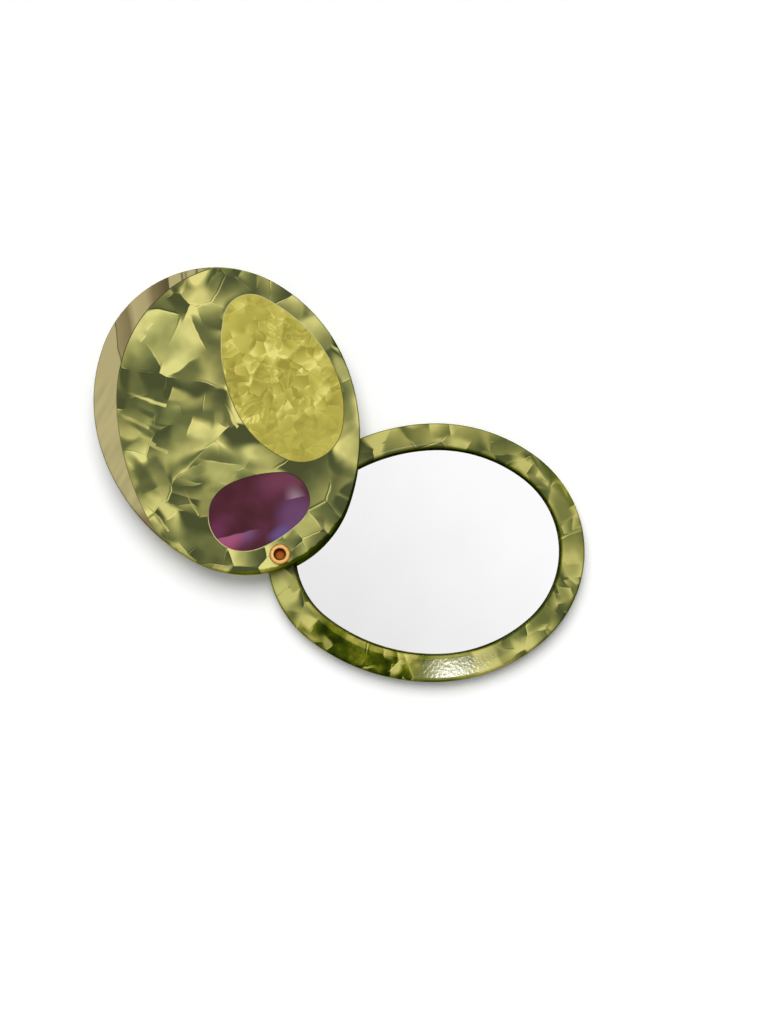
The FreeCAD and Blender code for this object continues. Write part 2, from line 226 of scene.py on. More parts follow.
    def inlay(self, colour, wall_colour):
        """Polished acetate with dull walls of another colour."""
        wall = self.wall()
        return self.polished(self.mix(wall, colour, wall_colour), wall)


def new_material(name):
    return Graph(bpy.data.materials.new(name))


# Pearl flakes

# In shares of the flakes' own size: the bends of their edges, the noise that softens some of them,
# the small flakes and their patches, and the slivers.
FLAKE_BENDS = [(1.6, 0.6), (0.3, 0.06)]
SOFT_SIZE = 0.8
SMALL = 0.55
SMALL_PATCH = 1.2
SLIVER_WIDTH, SLIVER_LENGTH = 0.22, 0.7
# Creases, in the same shares, drawn as a painted highlight line with a painted shade line beside
# it: the way from the dark line to the light one, and a line's distance from the edge.
CREASE_GAP = (0.025, -0.02)
CREASE_FADE = (0.022, 0.008)
# Levels of noise at which edges soften, at which crisp ones are creased, and where flakes are small.
SOFT_FADE = (0.48, 0.66)
SOFTEST = 0.6
CREASED_FADE = (0.51, 0.45)
SMALL_FADE = (0.5, 0.56)
# The tones of the darkest and the lightest flakes.
FLAKE_TONES = (0.05, 0.95)
# How softly the choice of shattered flakes is made, and the slivers' share of a shattered flake's tone.
SHATTERING_STEP = 0.04
SHATTERED_SHARE = 0.7


def painted_crease_lines(graph, tone, where, size, crisp, strength):
    """Folds along the crisp edges of flakes, as painted light and shade: a painted highlight line
    with a painted shade line beside it.
    """
    beside = graph.vector("ADD", where, (CREASE_GAP[0] * size, CREASE_GAP[1] * size, 0))
    for place, change in ((beside, -strength), (where, strength)):
        distance = graph.cells(place, size, "DISTANCE_TO_EDGE")["Distance"]
        line = graph.math("MULTIPLY", graph.rise(distance, *CREASE_FADE), crisp)
        tone = graph.math("MULTIPLY_ADD", line, change, tone)
    return tone


def flake_layer(graph, where, size, lean, crease=0.0):
    """Flakes side by side, with some edges crisp, and creased there, and others soft. Gives each
    flake's random colour, the place within it turned to its own lean, and its tone, which changes
    along the lean."""
    ease = graph.noise(where, size * SOFT_SIZE, detail=1.0)[0]
    smoothness = graph.span(ease, *SOFT_FADE, 0.0, SOFTEST)
    cells = graph.cells(where, size, "SMOOTH_F1", Smoothness=smoothness)
    chance = graph.split(cells["Color"])
    inside = graph.vector("SUBTRACT", where, cells["Position"])
    inside = graph.turned(inside, graph.math("MULTIPLY", chance[0], 2 * math.pi))
    slope = graph.math("DIVIDE", graph.split(inside)[0], size)
    tone = graph.math("MULTIPLY_ADD", slope, lean, graph.span(chance[1], 0, 1, *FLAKE_TONES))
    # Creases are painted highlight and shade lines along the crisp edges.
    if crease:
        tone = painted_crease_lines(graph, tone, where, size, graph.rise(ease, *CREASED_FADE), crease)
    return chance, inside, tone


def pearl_tone(graph, where, size, lean, shattering, crease):
    """The brightness, from 0 to 1, of pearl flakes: large ones, with a share of them shattered into
    slivers along their lean, and smaller ones between them."""
    place = graph.bent(where, FLAKE_BENDS, size)
    chance, inside, tone = flake_layer(graph, place, size, lean, crease)
    sliver_scale = (1 / (SLIVER_WIDTH * size), 1 / (SLIVER_LENGTH * size), 0)
    sliver_tone = flake_layer(graph, graph.vector("MULTIPLY", inside, sliver_scale), 1.0, lean)[2]
    shattered = graph.rise(chance[2], 1 - shattering, 1 - shattering + SHATTERING_STEP)
    tone = graph.blend(graph.math("MULTIPLY", shattered, SHATTERED_SHARE), tone, sliver_tone)

    small_tone = flake_layer(graph, place, size * SMALL, lean, crease)[2]
    small = graph.rise(graph.noise(where, size * SMALL_PATCH, detail=1.0)[0], *SMALL_FADE)
    return graph.blend(small, tone, small_tone)


# Green acetate

# Tones of the green pearl, from the deepest to the lightest.
DEEP, DARK, DIM, MIDDLE, LIGHT, BRIGHT = 0.12, 0.24, 0.36, 0.58, 0.8, 1.02

# The largest gleams and dark folds, the later over the earlier: the spot, the turn towards the crisp
# end, half the length and half the width in millimetres, and the tone.
COVER_GLEAMS = [
    (-60.3, 47.0, 118, 4.5, 6.5, DARK),
    (-76.0, 50.5, -80, 7.2, 3.4, DARK),
    (-63.5, 37.5, -10, 8.7, 3.8, DARK),
    (-55.0, 26.5, -80, 4.0, 8.0, DARK),
    (-75.5, 24.5, -60, 7.5, 2.6, DEEP),
    (-60.0, 4.5, -20, 8.8, 4.9, DARK),
    (-56.8, 61.0, 205, 2.2, 6.5, DARK),
    (-64.5, 57.5, 25, 6.5, 6.5, BRIGHT),
    (-66.0, 56.0, 209, 4.5, 5.5, LIGHT),
    (-57.5, 72.0, -100, 4.7, 3.6, BRIGHT),
    (-72.5, 63.0, -35, 1.8, 1.5, BRIGHT),
    (-74.0, 60.0, -35, 1.8, 1.7, BRIGHT),
    (-73.5, 43.0, -20, 6.2, 0.8, BRIGHT),
    (-75.5, 40.2, -24, 5.5, 1.0, DEEP),
    (-77.2, 37.4, -30, 5.5, 0.7, LIGHT),
    (-75.6, 35.4, -34, 5.2, 0.9, DARK),
    (-74.8, 33.2, -34, 5.2, 0.7, LIGHT),
    (-72.0, 30.6, -28, 5.4, 0.7, LIGHT),
    (-52.2, 38.5, -62, 4.6, 0.8, DARK),
    (-50.6, 37.8, -62, 4.2, 0.7, BRIGHT),
    (-62.0, 42.5, 160, 4.9, 2.6, LIGHT),
    (-55.0, 32.5, 160, 6.6, 3.5, BRIGHT),
    (-54.0, 20.0, 80, 5.0, 7.0, LIGHT),
    (-57.7, 15.8, -82, 5.0, 3.4, MIDDLE),
    (-70.3, 15.2, -50, 5.4, 2.2, BRIGHT),
    (-61.6, 15.2, -64, 4.6, 0.35, LIGHT),
    (-71.0, 11.8, -50, 6.0, 0.4, LIGHT),
    (-65.4, 2.8, -40, 6.0, 0.7, LIGHT),
    (-33.5, 6.0, 35, 5.3, 3.8, LIGHT),
    (-21.5, 50.5, -65, 4.9, 1.9, LIGHT),
]
RING_GLEAMS = [
    (-15.5, -27.8, -25, 5.4, 2.4, DEEP),
    (-25.4, -20.6, -35, 3.0, 1.6, DEEP),
    (28.0, -20.0, 45, 6.0, 3.3, DARK),
    (35.0, 12.0, -60, 5.3, 3.1, DIM),
    (8.5, 29.5, -35, 4.2, 2.6, BRIGHT),
    (25.5, 23.5, -40, 3.5, 2.6, BRIGHT),
    (38.5, -3.5, -90, 4.5, 3.1, BRIGHT),
    (38.0, -7.5, 90, 3.0, 3.0, LIGHT),
    (22.5, -25.0, -60, 2.6, 2.0, BRIGHT),
    (10.0, -30.5, 190, 15.0, 6.5, MIDDLE),
    (-8.4, -30.8, 130, 1.5, 3.2, BRIGHT),
    (-33.0, -16.0, -40, 4.2, 3.1, BRIGHT),
    (-29.6, -18.6, 37, 3.0, 1.0, DEEP),
    (-27.6, -22.1, -65, 2.9, 1.8, LIGHT),
    (-36.0, -6.0, -50, 4.0, 3.1, LIGHT),
]
GLEAM_BENDS = [(7, 2.2), (1.6, 0.3)]
GLEAM_BLUR = 0.6
# The painted highlight along a gleam's crisp end, as light on a crease: its width in millimetres,
# and how much lighter it is.
GLEAM_CREASE = 0.5
GLEAM_CREASE_HIGHLIGHT = 0.2

# The colours of the pearl, and of the clear green that the flakes are set in, by their tone.
GREEN = [
    (0.00, paint(68, 73, 35)),
    (0.18, paint(82, 86, 43)),
    (0.35, paint(104, 107, 56)),
    (0.55, paint(136, 135, 72)),
    (0.78, paint(178, 172, 98)),
    (1.00, paint(224, 215, 130)),
]
CLEAR_GREEN = [
    (0.0, paint(30, 40, 2)),
    (0.3, paint(62, 74, 6)),
    (0.6, paint(110, 114, 24)),
    (1.0, paint(176, 170, 80)),
]
# The clear green's tones under the darkest and the lightest pearl.
CLEAR_TONES = (0.15, 0.65)
EDGE_FADE = (0.985, 0.7)

# Where the cover and the ring are cut from the endless pearl sheet, in millimetres.
COVER_SHIFT = (130, -352, 0)
RING_SHIFT = (238, 275, 0)
# Soft folds through the flakes, and clouds of a cooler tint.
FOLD_SIZE = 4.5
FOLD_STRENGTH = 0.4
COOL = (0.92, 1.0, 1.02, 1)
COOL_SIZE = 17
COOL_FADE = (0.45, 0.65)
COOL_SHARE = 0.6
# The ripple of the polished face.
RIPPLE_SIZE = 0.8
RIPPLE_DEPTH = 0.008


def laid_gleams(graph, tone, where, gleams):
    """Lays gleams one over the other. Each has a painted highlight along the crease at its crisp
    end. The tone so far goes from one to the next as the height of the place."""
    x, y, _ = graph.split(graph.bent(where, GLEAM_BENDS))
    for spot_x, spot_y, turn, length, width, own in gleams:
        carried = graph.join(x, y, tone)
        share, along, below = graph.gleam(carried, (spot_x, spot_y), turn, (length, width), GLEAM_BLUR)
        # A painted highlight along the gleam's crisp end.
        crease = graph.rise(along, 1 - GLEAM_CREASE / length, 1.0)
        tone = graph.blend(share, below, graph.math("MULTIPLY_ADD", crease, GLEAM_CREASE_HIGHLIGHT, own))
    return tone


def green_acetate(name, size=16, gain=0.78, middle=0.52, shift=(0, 0, 0), gleams=(), clear_zone=None):
    """Pearl acetate, whose edges show the clear green that the flakes are set in. The gain and the
    middle set the contrast and the mean of its tone, and the shift chooses the part of the endless
    pearl sheet that the piece is cut from. A clear zone shows the clear green on the face too."""
    graph = new_material(name)
    where = graph.place()
    sheet = graph.vector("ADD", where, shift)
    tone = pearl_tone(graph, sheet, size, lean=1.3, shattering=0.25, crease=0.4)
    tone = laid_gleams(graph, tone, where, gleams)
    folds = graph.math("SUBTRACT", graph.noise(sheet, FOLD_SIZE, detail=1.0)[0], 0.5)
    tone = graph.math("MULTIPLY_ADD", folds, FOLD_STRENGTH, tone)
    tone = graph.math("MULTIPLY_ADD", tone, gain, middle - gain / 2)
    colour = graph.ramp(tone, GREEN)
    cool = graph.rise(graph.noise(where, COOL_SIZE)[0], *COOL_FADE)
    colour = graph.mix(graph.math("MULTIPLY", cool, COOL_SHARE), colour, COOL, "MULTIPLY")

    wall = graph.wall(EDGE_FADE)
    clear, dull = wall, wall
    clear_tone = graph.span(tone, 0, 1, *CLEAR_TONES)
    if clear_zone:
        zone, dull_zone, clear_tone = clear_zone(graph, where, clear_tone)
        clear = graph.math("MAXIMUM", wall, zone)
        dull = graph.math("MAXIMUM", wall, dull_zone)
    colour = graph.mix(clear, colour, graph.ramp(clear_tone, CLEAR_GREEN))
    ripple = graph.bump(graph.noise(where, RIPPLE_SIZE)[0], RIPPLE_DEPTH)
    return graph.polished(colour, dull, Normal=ripple, Coat_Normal=ripple)


# The clear edge at the cover's rivet end lies outside a circle, and fades in as y falls. Its tone
# changes from painted light to painted shade as x rises.
CLEAR_EDGE_MIDDLE = (-48.15, 27.2, 0)
CLEAR_EDGE_RADIUS = 31.4
CLEAR_EDGE_FADE = (CLEAR_EDGE_RADIUS - 0.1, CLEAR_EDGE_RADIUS + 0.25)
CLEAR_EDGE_BENDS = [(2.0, 1.2)]
CLEAR_EDGE_Y_FADE = (13, 9)
CLEAR_EDGE_X = (-46, -36)
CLEAR_EDGE_LIGHT_TO_SHADE = (0.32, -0.2)


def cover_clear_edge(graph, where, tone):
    """The clear edge at the cover's rivet end, where it is dull, and its tone, with painted light to
    the left and painted shade to the right of the rivet."""
    x, y, _ = graph.split(where)
    level = graph.vector("MULTIPLY", graph.bent(where, CLEAR_EDGE_BENDS), (1, 1, 0))
    edge = graph.rise(graph.vector("DISTANCE", level, CLEAR_EDGE_MIDDLE), *CLEAR_EDGE_FADE)
    edge = graph.math("MULTIPLY", edge, graph.rise(y, *CLEAR_EDGE_Y_FADE))
    # Painted light on the left of the edge, painted shade to the right of the rivet.
    change = graph.span(x, *CLEAR_EDGE_X, *CLEAR_EDGE_LIGHT_TO_SHADE)
    return edge, edge, graph.math("ADD", tone, change)


# The ring's near side fades in as x and y fall. Clear green shows there between the lighter flakes:
# its share elsewhere and its greatest share, a span of its tones, and what that is stretched to.
NEAR_X_FADE = (5, -6)
NEAR_Y_FADE = (-13, -20)
BETWEEN_FADE = (0.62, 0.38)
BETWEEN_SHARE = (0.36, 0.96)
NEAR_SPAN = (0.3, 0.65)
NEAR_TONES = (0.18, 0.9)
CLOUD_SIZE = 3.5
CLOUD_STRENGTH = 1.4
# The painted highlight strip over the mirror, on the ring's inner round, also fades in as x and y
# fall. Its limit is in shares of the opening, which leaves a gap all round the glass.
STRIP_X_FADE = (16, 6)
STRIP_Y_FADE = (-8, -16)
STRIP_FADE = (1.042, 1.027)
STRIP_HIGHLIGHT = 0.4
GLASS_GAP = 0.3
# The wall by the mirror darkens downwards with painted shade, to a share of its tone, between two
# heights that are counted from the top of the glass.
SHADE_LOW, SHADE_HIGH = -0.2, 0.6
SHADE = 0.25
# The outer edge, in shares of the ring's outline, and the places with painted light, as if light
# came through it: the spot, the turn and the reach, and how much lighter it is there.
OUTER_FADE = (0.92, 0.96)
OUTERMOST_FADE = (0.95, 0.98)
PAINTED_LIT_SPOT_NEAR = ((18, -31), 20, (15, 7))
PAINTED_LIT_GAIN_NEAR = 0.6
PAINTED_LIT_SPOT_FAR = ((36.5, 15.5), -55, (13, 6))
PAINTED_LIT_GAIN_FAR = 0.25


def painted_highlight_strip(graph, x, y):
    """The painted highlight strip along the ring's near edge over the mirror."""
    middle = middle_of("mirror_glass") / MM
    half = half_size_of("mirror_glass") / MM + Vector((GLASS_GAP, GLASS_GAP, 0))
    opening = graph.local(graph.join(x, y, 0.0), middle.xy, 0, half.xy)
    strip = graph.rise(graph.vector("LENGTH", opening), *STRIP_FADE)
    strip = graph.math("MULTIPLY", strip, graph.rise(y, *STRIP_Y_FADE))
    return graph.math("MULTIPLY", strip, graph.rise(x, *STRIP_X_FADE))


def ring_clear_side(graph, where, tone):
    """The ring's near side, where clear green shows between the flakes, where it is dull, and its
    tone: cloudy on the near side, with painted shade on the wall by the mirror, a painted highlight
    along the near edge over it, and painted light, as if lit through, on parts of the outer edge."""
    x, y, z = graph.split(where)
    near = graph.math("MULTIPLY", graph.rise(x, *NEAR_X_FADE), graph.rise(y, *NEAR_Y_FADE))
    between = graph.math("MULTIPLY", near, graph.rise(tone, *BETWEEN_FADE))
    zone = graph.span(between, 0, 1, *BETWEEN_SHARE)
    cloud = graph.noise(where, CLOUD_SIZE)[0]
    cloud = graph.math("MULTIPLY_ADD", cloud, CLOUD_STRENGTH, -CLOUD_STRENGTH / 2)
    cloudy = graph.math("ADD", graph.span(tone, *NEAR_SPAN, *NEAR_TONES), cloud)
    tone = graph.blend(near, tone, cloudy)

    half = half_size_of("mirror_frame_ring") / MM
    oval = graph.vector("LENGTH", graph.vector("MULTIPLY", where, (1 / half.x, 1 / half.y, 0)))
    outer = graph.rise(oval, *OUTER_FADE)
    glass_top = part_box("mirror_glass")[1][2] / MM
    # Painted shade on the wall that goes down to the mirror.
    shade = graph.span(z, glass_top + SHADE_LOW, glass_top + SHADE_HIGH, SHADE, 1.0)
    tone = graph.math("MULTIPLY", tone, graph.math("MAXIMUM", outer, shade))
    # A painted highlight along the near edge over the mirror.
    tone = graph.math("MULTIPLY_ADD", painted_highlight_strip(graph, x, y), STRIP_HIGHLIGHT, tone)

    # Painted light on parts of the outer edge, as if lit through it.
    painted_lit_near = graph.math("MULTIPLY", graph.glow(where, *PAINTED_LIT_SPOT_NEAR), outer)
    painted_lit_far = graph.math("MULTIPLY", graph.glow(where, *PAINTED_LIT_SPOT_FAR), graph.rise(oval, *OUTERMOST_FADE))
    zone = graph.math("MAXIMUM", zone, painted_lit_far)
    tone = graph.math("MULTIPLY_ADD", painted_lit_far, PAINTED_LIT_GAIN_FAR, tone)
    return zone, near, graph.math("MULTIPLY_ADD", painted_lit_near, PAINTED_LIT_GAIN_NEAR, tone)


# Yellow acetate

YELLOW = [
    (0.0, paint(154, 144, 54)),
    (0.4, paint(178, 168, 70)),
    (0.7, paint(197, 186, 86)),
    (1.0, paint(228, 218, 122)),
]
# The flakes of its two layers, and where the lower one is cut from the endless sheet.
UPPER_SIZE = 5.5
UPPER_BENDS = [(3.5, 2.6), (1.2, 0.7)]
LOWER_SIZE = 9
LOWER_SHIFT = (31, 17, 0)
# It is calmer towards its ends: its middle, the direction along it, the distances from the middle,
# and the size, the levels and the tones of the calm clouds.
YELLOW_MIDDLE = (-37.5, 48, 0)
YELLOW_AXIS = (0.36, -0.93, 0)
CALM_FADE = (8, 18)
CALM_SHARE = 0.55
CALM_SIZE = 9
CALM_LEVELS = (0.3, 0.7)
CALM_TONES = (0.3, 0.6)
# How much darker than the pearl's own tone it is.
YELLOW_DARKER = 0.03


def yellow_acetate():
    """Two layers of pearl flakes, seen through each other, the upper one crumpled."""
    graph = new_material("yellow_acetate")
    where = graph.place()
    crumpled = graph.bent(where, UPPER_BENDS)
    shifted = graph.vector("ADD", where, LOWER_SHIFT)
    lower = pearl_tone(graph, shifted, LOWER_SIZE, lean=1.2, shattering=0.3, crease=0.4)
    upper = pearl_tone(graph, crumpled, UPPER_SIZE, lean=1.2, shattering=0.35, crease=0.4)
    tone = graph.blend(0.5, lower, upper)
    along = graph.vector("DOT_PRODUCT", graph.vector("SUBTRACT", where, YELLOW_MIDDLE), YELLOW_AXIS)
    calm = graph.rise(graph.math("ABSOLUTE", along), *CALM_FADE)
    calm_tone = graph.span(graph.noise(where, CALM_SIZE)[0], *CALM_LEVELS, *CALM_TONES)
    tone = graph.blend(graph.math("MULTIPLY", calm, CALM_SHARE), tone, calm_tone)
    colour = graph.ramp(graph.math("SUBTRACT", tone, YELLOW_DARKER), YELLOW)
    return graph.inlay(colour, paint(120, 116, 20))


# Purple acetate

PURPLE = [
    (0.3, paint(66, 20, 30)),
    (0.55, paint(78, 30, 44)),
    (0.75, paint(96, 40, 66)),
]
PURPLE_BENDS = [(6, 1.6)]
PURPLE_SIZE = 9
# Soft clouds: the spot, the turn, the reach, and the colour.
PURPLE_CLOUDS = [
    ((-37, 19.5), 5, (10, 5), paint(108, 52, 74)),
    ((-55, 6.5), 60, (6, 4), paint(100, 40, 70)),
    ((-34, 10), 60, (8.5, 7), paint(102, 62, 100)),
    ((-38, 5.5), 25, (5, 3), paint(98, 74, 124)),
]
# Gleams: the spot, the turn towards the crisp end, the reach, the colours of both ends, and the blur.
PURPLE_GLEAMS = [
    # The first gleam's pale far end is a painted highlight, a glare of light on the inlay.
    ((-34.5, 17.4), -75, (2.8, 3.2), paint(96, 50, 68), paint(150, 124, 134), 1.0),
    ((-47.0, 3.6), 103, (2.7, 5.0), paint(100, 54, 96), paint(120, 78, 114), 0.9),
    ((-51.4, 2.5), 103, (2.7, 5.6), paint(156, 70, 108), paint(158, 82, 116), 0.7),
]


def purple_acetate():
    """Dark acetate with soft clouds, and with gleams that change colour along their length, the
    first with a painted highlight at its pale far end.
    """
    graph = new_material("purple_acetate")
    place = graph.bent(graph.place(), PURPLE_BENDS)
    colour = graph.ramp(graph.noise(place, PURPLE_SIZE)[0], PURPLE)
    for spot, turn, reach, own in PURPLE_CLOUDS:
        colour = graph.mix(graph.glow(place, spot, turn, reach), colour, own)
    for spot, turn, reach, near, far, blur in PURPLE_GLEAMS:
        share, along, _ = graph.gleam(place, spot, turn, reach, blur)
        own = graph.ramp(graph.span(along, -1, 1), [(0.0, near), (1.0, far)])
        colour = graph.mix(share, colour, own)
    return graph.inlay(colour, paint(50, 14, 26))


# Tan acetate

TAN, BROWN, UMBER = paint(177, 165, 115), paint(126, 112, 74), paint(88, 78, 46)
# Bands across the upper half of the crescent, by their place along it in millimetres.
BANDS = [
    (-71.6, TAN), (-71.4, UMBER), (-71.1, paint(146, 133, 90)), (-69.6, paint(138, 124, 82)),
    (-67.8, BROWN), (-66.0, TAN), (-62.2, paint(172, 156, 110)), (-60, BROWN), (-56.5, UMBER),
    (-55.6, UMBER), (-55.4, TAN), (-52.3, TAN), (-51.8, UMBER), (-51.3, TAN), (-50.8, BROWN),
    (-50.2, TAN), (-48.6, TAN), (-48, UMBER), (-47.4, TAN), (-43.5, paint(124, 118, 62)),
]
BANDS_START, BANDS_END = -80.0, -40.0
BANDS_AXIS = (0.991, 0.133, 0)
BANDS_BENDS = [(6, 1.2)]
# Streaks of the plain part: their colours, their width, how much longer they are, and their turn in
# radians.
STREAKS = [
    (0.25, paint(160, 149, 100)),
    (0.5, paint(176, 165, 115)),
    (0.8, paint(190, 178, 125)),
]
STREAK_WIDTH = 2.2
STREAK_STRETCH = (1, 0.12, 1)
STREAK_TURN = 0.5
# The bands fade in as y rises, and the brown lower tip as it falls.
BANDS_Y_FADE = (44, 50)
TIP_Y_FADE = (14.5, 10)


def tan_acetate():
    """Streaked acetate with bands across its upper half and a brown lower tip."""
    graph = new_material("tan_acetate")
    where = graph.place()
    y = graph.split(where)[1]
    along = graph.vector("DOT_PRODUCT", graph.bent(where, BANDS_BENDS), BANDS_AXIS)
    length = BANDS_END - BANDS_START
    stops = [((place - BANDS_START) / length, colour) for place, colour in BANDS]
    bands = graph.ramp(graph.span(along, BANDS_START, BANDS_END), stops)
    streak_place = graph.vector("MULTIPLY", graph.turned(where, STREAK_TURN), STREAK_STRETCH)
    plain = graph.ramp(graph.noise(streak_place, STREAK_WIDTH, detail=3.0)[0], STREAKS)
    colour = graph.mix(graph.rise(y, *BANDS_Y_FADE), plain, bands)
    colour = graph.mix(graph.rise(y, *TIP_Y_FADE), colour, BROWN)
    return graph.inlay(colour, paint(92, 84, 34))


# Copper, mirror and plain finishes

# The rivet's radii, and the heights at which its rim gives way to its hollow.
HOLLOW_RADIUS = 1.53
RIM_RADIUS = 2.75
HOLLOW_FADE = (8.9, 8.5)
# The copper's grain, and how far it moves the colours in and out.
COPPER_GRAIN = 0.5
COPPER_DEPTH = 0.05
COPPER_WEAR = 1.2


def copper():
    """Copper with a painted highlight where the rim rolls into the hollow, and darkest round the
    hollow's floor, where painted shade lies over the copper's own darker colour.
    """
    graph = new_material("copper")
    where = graph.place()
    x, y, z = graph.split(where)
    grain = graph.noise(where, COPPER_GRAIN, detail=4.0)[0]
    axis = middle_of("pivot_rivet") / MM
    radius = graph.vector("DISTANCE", graph.join(x, y, 0.0), (axis.x, axis.y, 0))
    worn = graph.math("MULTIPLY_ADD", graph.math("SUBTRACT", grain, 0.5), COPPER_WEAR, radius)
    # The rim's colour, lightest where it rolls into the hollow as a painted highlight.
    rim = graph.ramp(graph.span(worn, HOLLOW_RADIUS, RIM_RADIUS), [
        (0.1, paint(252, 214, 148)),
        (0.4, paint(242, 192, 118)),
        (0.8, paint(222, 160, 88)),
        (1.0, paint(176, 108, 56)),
    ])
    # The hollow's own darker colour, with painted shade round its floor.
    inside = graph.ramp(graph.span(worn, 0, HOLLOW_RADIUS), [
        (0.5, paint(160, 92, 36)),
        (0.85, paint(104, 40, 12)),
    ])
    colour = graph.mix(graph.rise(z, *HOLLOW_FADE), rim, inside)
    normal = graph.bump(grain, COPPER_DEPTH)
    return graph.finish(Base_Color=colour, Metallic=1.0, Roughness=0.34, Normal=normal)


# The size of the faint clouds on the mirror.
FILM_SIZE = 14


def mirror():
    graph = new_material("mirror")
    film = graph.noise(graph.place(), FILM_SIZE)[0]
    colour = graph.ramp(film, [(0.2, paint(250, 249, 250)), (0.8, paint(254, 253, 254))])
    return graph.finish(Base_Color=colour, Metallic=1.0, Roughness=0.015)


GRAIN_DEPTH = 0.02


def grained(name, low, high, size, roughness):
    """A plain finish with a fine grain between two colours."""
    graph = new_material(name)
    grain = graph.noise(graph.place(), size, detail=3.0)[0]
    colour = graph.ramp(grain, [(0.3, low), (0.7, high)])
    return graph.finish(Base_Color=colour, Roughness=roughness, Normal=graph.bump(grain, GRAIN_DEPTH))


FINISHES = {
    "tray_back_panel": green_acetate("tray_back_acetate"),
    "mirror_frame_ring": green_acetate(
        "ring_acetate",
        size=12,
        gain=0.7,
        middle=0.6,
        shift=RING_SHIFT,
        gleams=RING_GLEAMS,
        clear_zone=ring_clear_side,
    ),
    "mirror_glass": mirror(),
    "mirror_adhesive_pad": grained("adhesive", paint(196, 190, 172), paint(220, 214, 198), 0.8, 0.6),
    "pivot_rivet": copper(),
    "pivot_spacer_washer": grained("nylon", paint(205, 200, 182), paint(226, 221, 205), 0.4, 0.45),
    "cover_back_panel": green_acetate("cover_back_acetate", clear_zone=cover_clear_edge),
    "cover_face_panel": green_acetate(
        "cover_face_acetate",
        shift=COVER_SHIFT,
        gleams=COVER_GLEAMS,
        clear_zone=cover_clear_edge,
    ),
    "crescent_inlay": tan_acetate(),
    "yellow_inlay": yellow_acetate(),
    "purple_inlay": purple_acetate(),
}
for node, finish in FINISHES.items():
    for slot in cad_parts[node].material_slots:
        slot.material = finish


# Glue lines round the inlays

GLUE_WIDTH = 0.2 * MM
GLUE_RISE = 0.02 * MM
GLUE_DEPTH = 0.3 * MM
# The place where the glue changes between painted light and painted shade wanders over a range, by
# a noise of a size, in millimetres.
GLUE_WANDER = 6
GLUE_WANDER_SIZE = 3

face_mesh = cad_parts["cover_face_panel"].data
face_tree = BVHTree.FromPolygons(
    [vertex.co for vertex in face_mesh.vertices],
    [list(polygon.vertices) for polygon in face_mesh.polygons],
)


def seam_points(inlay, middle):
    """The points of an inlay's top edge that lie beside the green face, in turn about the middle."""
    corners = [vertex.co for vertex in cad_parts[inlay].data.vertices]
    top = max(corner.z for corner in corners)
    edge = {corner.freeze() for corner in (c.copy() for c in corners)
            if corner.z > top - GLUE_RISE and face_tree.find_nearest(corner)[3] < GLUE_WIDTH}
    return sorted(edge, key=lambda point: math.atan2(point.y - middle.y, middle.x - point.x))


def make_glue_line(name, points, closed, finish):
    """A thin ribbon of glue that fills a seam and stands just proud of it. It has four corners at each
    point of the seam."""
    count = len(points)
    vertices = []
    for index, point in enumerate(points):
        before = points[index - 1] if closed or index else point
        after = points[(index + 1) % count] if closed or index < count - 1 else point
        side = (after - before).cross(Vector((0, 0, 1))).normalized() * GLUE_WIDTH / 2
        for across, height in ((-1, GLUE_RISE), (1, GLUE_RISE), (1, -GLUE_DEPTH), (-1, -GLUE_DEPTH)):
            vertices.append(point + side * across + Vector((0, 0, height)))
    faces = []
    for index in range(count if closed else count - 1):
        here, there = 4 * index, 4 * ((index + 1) % count)
        faces += [(here + k, here + (k + 1) % 4, there + (k + 1) % 4, there + k) for k in range(4)]
    if not closed:
        faces += [(0, 1, 2, 3), tuple(4 * (count - 1) + k for k in (3, 2, 1, 0))]
    mesh = bpy.data.meshes.new(name)
    mesh.from_pydata(vertices, [], faces)
    mesh.materials.append(finish)
    ribbon = bpy.data.objects.new(name, mesh)
    bpy.context.collection.objects.link(ribbon)
    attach(ribbon, "cover")


def glue(name, lower, upper, start, end):
    """Glue with painted light on one side of the seam and painted shade on the other: one colour where
    y is low and another where it is high, as the light would fall into the seam. The colour changes
    from the start to the end."""
    graph = new_material(name)
    where = graph.place()
    y = graph.math("SUBTRACT", graph.split(where)[1], GLUE_WANDER / 2)
    wandering = graph.math("MULTIPLY_ADD", graph.noise(where, GLUE_WANDER_SIZE)[0], GLUE_WANDER, y)
    colour = graph.mix(graph.rise(wandering, start, end), lower, upper)
    return graph.finish(Base_Color=colour, Roughness=0.4, Specular_IOR_Level=0.1)


# The glue's dark colours are painted shade in the seam, and its light colours painted light.
glue_in_painted_shade, glue_in_painted_light = paint(58, 54, 26), paint(196, 188, 128)
for name, finish in (
    ("yellow_inlay", glue("yellow_glue", paint(92, 88, 34), glue_in_painted_light, 46, 56)),
    ("purple_inlay", glue("purple_glue", glue_in_painted_light, paint(48, 28, 26), 8, 14)),
):
    make_glue_line(name.replace("inlay", "glue_line"), seam_points(name, middle_of(name)), True, finish)
crescent_seam = seam_points("crescent_inlay", middle_of("cover_back_panel"))
crescent_glue = glue("crescent_glue", paint(120, 110, 66), glue_in_painted_shade, 36, 56)
make_glue_line("crescent_glue_line", crescent_seam, False, crescent_glue)


# Floor, backdrop and light

FLOOR_HALF = 1.5
FLOOR_SHADE = 0.95
FLOOR_GLOW = 0.1


def seen_rays(graph, path):
    """1 for rays that show the background: straight, mirrored and through clear pieces."""
    seen = path["Is Camera Ray"]
    for name in ("Is Glossy Ray", "Is Transmission Ray"):
        seen = graph.math("MAXIMUM", seen, path[name])
    return seen


